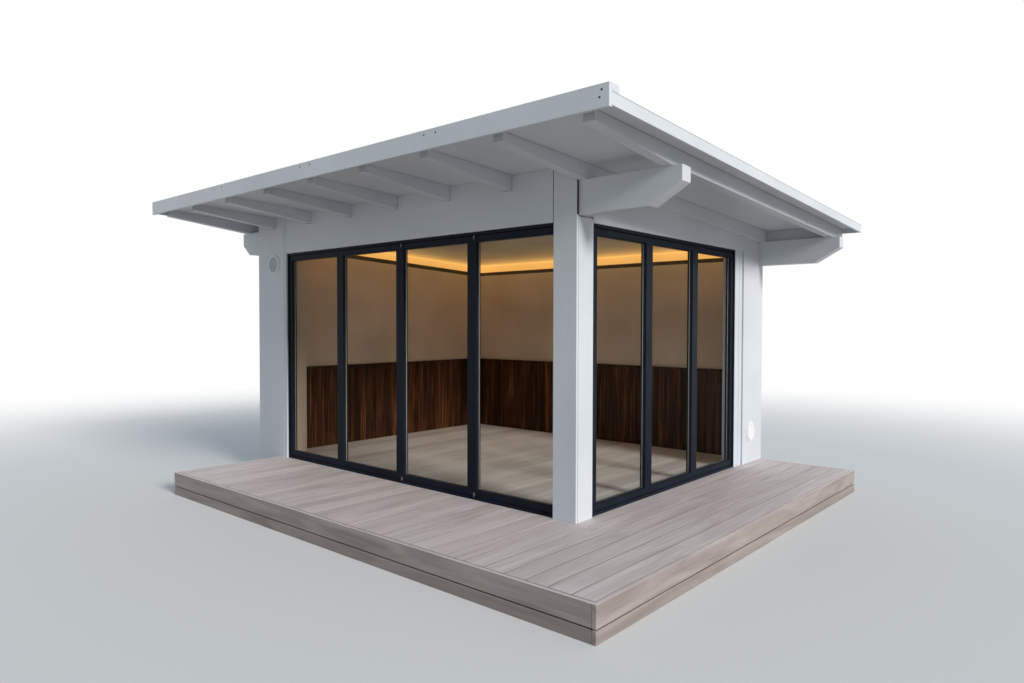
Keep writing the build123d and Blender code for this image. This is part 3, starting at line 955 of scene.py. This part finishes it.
def jointShape(left, right, bottom, top, face):
    # An upright bar a little wider than the joint and set back from the face: painted shade in it
    low, high = (left - jointShadeBar["into"], bottom), (right + jointShadeBar["into"], top)
    return prism(rectangle(low, high), 1, face + jointShadeBar["behind"], face + jointShadeBar["depth"])


headerJoint = jointShape(headerHigh[0], boardLow[0], headerLow[2], boardHigh[2] - slack,
                         boardLow[1])
deckJoint = jointShape(edgeHigh[0], edgeHigh[0], edgeLow[2] + slack, edgeHigh[2] - slack,
                       edgeLow[1])
showMesh("cornerJoints", joined(headerJoint, deckJoint), sealAndShade, "door_metal")
print("soffit lined")

# Double glazing: two panes, a dark spacer between them with a bright metal line, and black seals
# against the frame. Distances inwards count from the hidden edge of the pane.
glazing = {
    "spacerFrom": 0.002,
    "spacerTo": 0.0125,
    "lineSeat": 0.001,
    "lineFrom": 0.0035,
    "lineTo": 0.0075,
    "lineProud": 0.0006,
    "sealFrom": 0.0115,
    "sealTo": 0.0135,
    "sealTaper": 0.001,
    "sealProud": 0.003,
}
rubbers, spacers, spacerLines = [], [], []
for node in sorted(n for n in nodes if n.endswith("_glass")):
    low, high = corners(node)
    flat = 1 if node.startswith("front") else 0
    across = 1 - flat
    thick = pane["thickness"]
    sheets = [boards(low[across], high[across], across, (2, low[2], high[2]), thick, pane["edge"],
                     bottom)
              for bottom in (low[flat], high[flat] - thick)]
    side, _, number, _ = node.split("_")
    showMesh(f"{side}Leaf{number}Panes", joined(*sheets), glass, "glass", (node,))
    cavity = rectangle((glazing["spacerFrom"], thick),
                       (glazing["spacerTo"], high[flat] - low[flat] - thick))
    spacers.append(frameLoop([(low, high)], flat, low[flat], [(0, *point) for point in cavity]))
    outer, inwards = (low[flat] + thick, 1) if flat else (high[flat] - thick, -1)
    line = rectangle((glazing["spacerTo"] - glazing["lineSeat"], inwards * glazing["lineFrom"]),
                     (glazing["spacerTo"] + glazing["lineProud"], inwards * glazing["lineTo"]))
    spacerLines.append(frameLoop([(low, high)], flat, outer, [(0, *point) for point in line]))
    for face, outwards in ((low[flat], -1), (high[flat], 1)):
        lip = [(0, glazing["sealFrom"], 0), (0, glazing["sealTo"], 0),
               (0, glazing["sealTo"] - glazing["sealTaper"], outwards * glazing["sealProud"]),
               (0, glazing["sealFrom"], outwards * glazing["sealProud"])]
        rubbers.append(frameLoop([(low, high)], flat, face, lip))
showMesh("spacerBars", joined(*spacers), sealAndShade, "door_metal")
showMesh("spacerLines", joined(*spacerLines), spacerMetal, "door_metal")
showMesh("glazingSeals", joined(*rubbers), sealAndShade, "door_metal")
print("doors glazed")

# Screw heads on the fascia, in pairs over the rafters, and one on the low vent. The profile is
# (radius, height), and places on the fascia are (from the right wall, height).
screw = {
    "profile": [(0.0062, 0.0), (0.0062, 0.0006), (0.0050, 0.0013), (0.0022, 0.0017)],
    "fascia": [(0.839, 2.773), (0.826, 2.736), (-0.496, 2.774), (-0.391, 2.773),
               (-1.897, 2.776), (-1.766, 2.777), (-3.253, 2.774), (-3.120, 2.776)],
    "ventSize": 0.8,
    "ventRise": 0.058,
}
fasciaLow = corners("front_fascia")[0]
spots = np.array([(house["right"] + x, fasciaLow[1], z) for x, z in screw["fascia"]])
showMesh("fasciaScrews", turned(screw["profile"], spots, 1, -1), screwSteel, "door_metal")
lidLow, lidHigh = corners("disc_vent")
spot = [lidHigh[0], (lidLow[1] + lidHigh[1]) / 2, (lidLow[2] + lidHigh[2]) / 2 + screw["ventRise"]]
ventProfile = [(r * screw["ventSize"], h) for r, h in screw["profile"]]
showMesh("ventScrew", turned(ventProfile, spot, 0, 1), screwSteel, "door_metal")

# Fine grille in the ring vent: crossed bars cut to the circle
grille = {
    "radius": 0.0815,
    "pitch": 0.0085,
    "bar": 0.0026,
    "depth": 0.0022,
    "weave": 0.6,
    "plate": 0.004,
    "edge": 0.0006,
}
ringLow, ringHigh = corners("ring_vent")
middle = (ringLow + ringHigh) / 2
reach = math.floor(grille["radius"] / grille["pitch"])
offsets = np.arange(-reach, reach + 1) * grille["pitch"]
half = np.sqrt(grille["radius"] ** 2 - offsets ** 2)
behind = ringHigh[1] - grille["plate"] - grille["depth"]
barSection = (grille["depth"], grille["edge"])
level = boards(middle[2] + offsets - grille["bar"] / 2, middle[2] + offsets + grille["bar"] / 2, 2,
               (0, middle[0] - half, middle[0] + half), *barSection, behind)
upright = boards(middle[0] + offsets - grille["bar"] / 2, middle[0] + offsets + grille["bar"] / 2,
                 0, (2, middle[2] - half, middle[2] + half), *barSection,
                 behind - grille["depth"] * grille["weave"])
showMesh("ventGrille", joined(level, upright), paintZ, "vent_plastic")
print("small parts set")

view = {
    "place": (4.6955, -5.1435, 1.588),
    "turn": (88.60, -0.11, 41.14),
    "lens": 24.93,
    "sensor": 36,
    "farthest": 200,
}
cameraData = bpy.data.cameras.new("camera")
cameraData.lens = view["lens"]
cameraData.sensor_width = view["sensor"]
cameraData.clip_end = view["farthest"]
camera = bpy.data.objects.new("camera", cameraData)
camera.location = view["place"]
camera.rotation_euler = [math.radians(a) for a in view["turn"]]
bpy.context.scene.collection.objects.link(camera)
bpy.context.scene.camera = camera

lighting = {
    "sun": 2.8,
    "sunAngle": 16,
    "sunTurn": (68, 0, 82),
    "sunColour": (1.0, 0.965, 0.91),
    "sky": 0.50,
    "skyColour": (0.77, 0.89, 1.0),
}
sunData = bpy.data.lights.new("softSun", "SUN")
sunData.energy = lighting["sun"]
sunData.color = lighting["sunColour"]
sunData.angle = math.radians(lighting["sunAngle"])
sun = bpy.data.objects.new("softSun", sunData)
sun.rotation_euler = [math.radians(a) for a in lighting["sunTurn"]]
bpy.context.scene.collection.objects.link(sun)

# The sky lights the object, and is plain white where it is seen
world = bpy.data.worlds.new("studio")
bpy.context.scene.world = world
world.use_nodes = True
tree = world.node_tree
seen = seenDirectly(tree)
plug(tree, tree.nodes["Background"], {
    "Strength": spread(tree, seen, lighting["sky"], 1.0),
    "Color": blend(tree, seen, lighting["skyColour"], (1.0, 1.0, 1.0)),
})

# The floor fades to white with the distance from the middle, where it is seen
studio = {
    "reach": 60,
    "seen": (0.76, 0.76, 0.76),
    "bounce": (0.50, 0.465, 0.415),
    "roughness": 0.9,
    "gloss": 0.1,
    "fadeFrom": 4.5,
    "fadeTo": 13.0,
}
reach = studio["reach"]
floorMesh = bpy.data.meshes.new("studioFloor")
floorPoints = [(x, y, 0) for x, y in rectangle((-reach, -reach), (reach, reach))]
floorMesh.from_pydata(floorPoints, [], [(0, 1, 2, 3)])
studioFloor = bpy.data.objects.new("studioFloor", floorMesh)
bpy.context.scene.collection.objects.link(studioFloor)
floorMaterial, tree, shader = startMaterial("studioFloor", {
    "Roughness": studio["roughness"], "Specular IOR Level": studio["gloss"],
})
seen = seenDirectly(tree)
plug(tree, shader, {"Base Color": blend(tree, seen, studio["bounce"], studio["seen"])})
point = addNode(tree, "ShaderNodeTexCoord").outputs["Object"]
distance = addNode(tree, "ShaderNodeVectorMath", {0: point}, operation="LENGTH").outputs["Value"]
fade = addNode(tree, "ShaderNodeMapRange", {
    "Value": distance, "From Min": studio["fadeFrom"], "From Max": studio["fadeTo"],
}, interpolation_type="SMOOTHSTEP")
share = calculate(tree, "MULTIPLY", fade.outputs[0], seen)
white = addNode(tree, "ShaderNodeEmission", {"Color": (1, 1, 1, 1), "Strength": 1.0})
mixed = addNode(tree, "ShaderNodeMixShader", {
    0: share, 1: shader.outputs[0], 2: white.outputs[0],
})
plug(tree, tree.nodes["Material Output"], {"Surface": mixed.outputs[0]})
floorMesh.materials.append(floorMaterial)
studioFloor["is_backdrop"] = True
bpy.context.scene.view_settings.view_transform = "Standard"
print("camera and light set")

low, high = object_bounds()
{"cad": [list(cadLow), list(cadHigh)], "visual": [list(low), list(high)]}
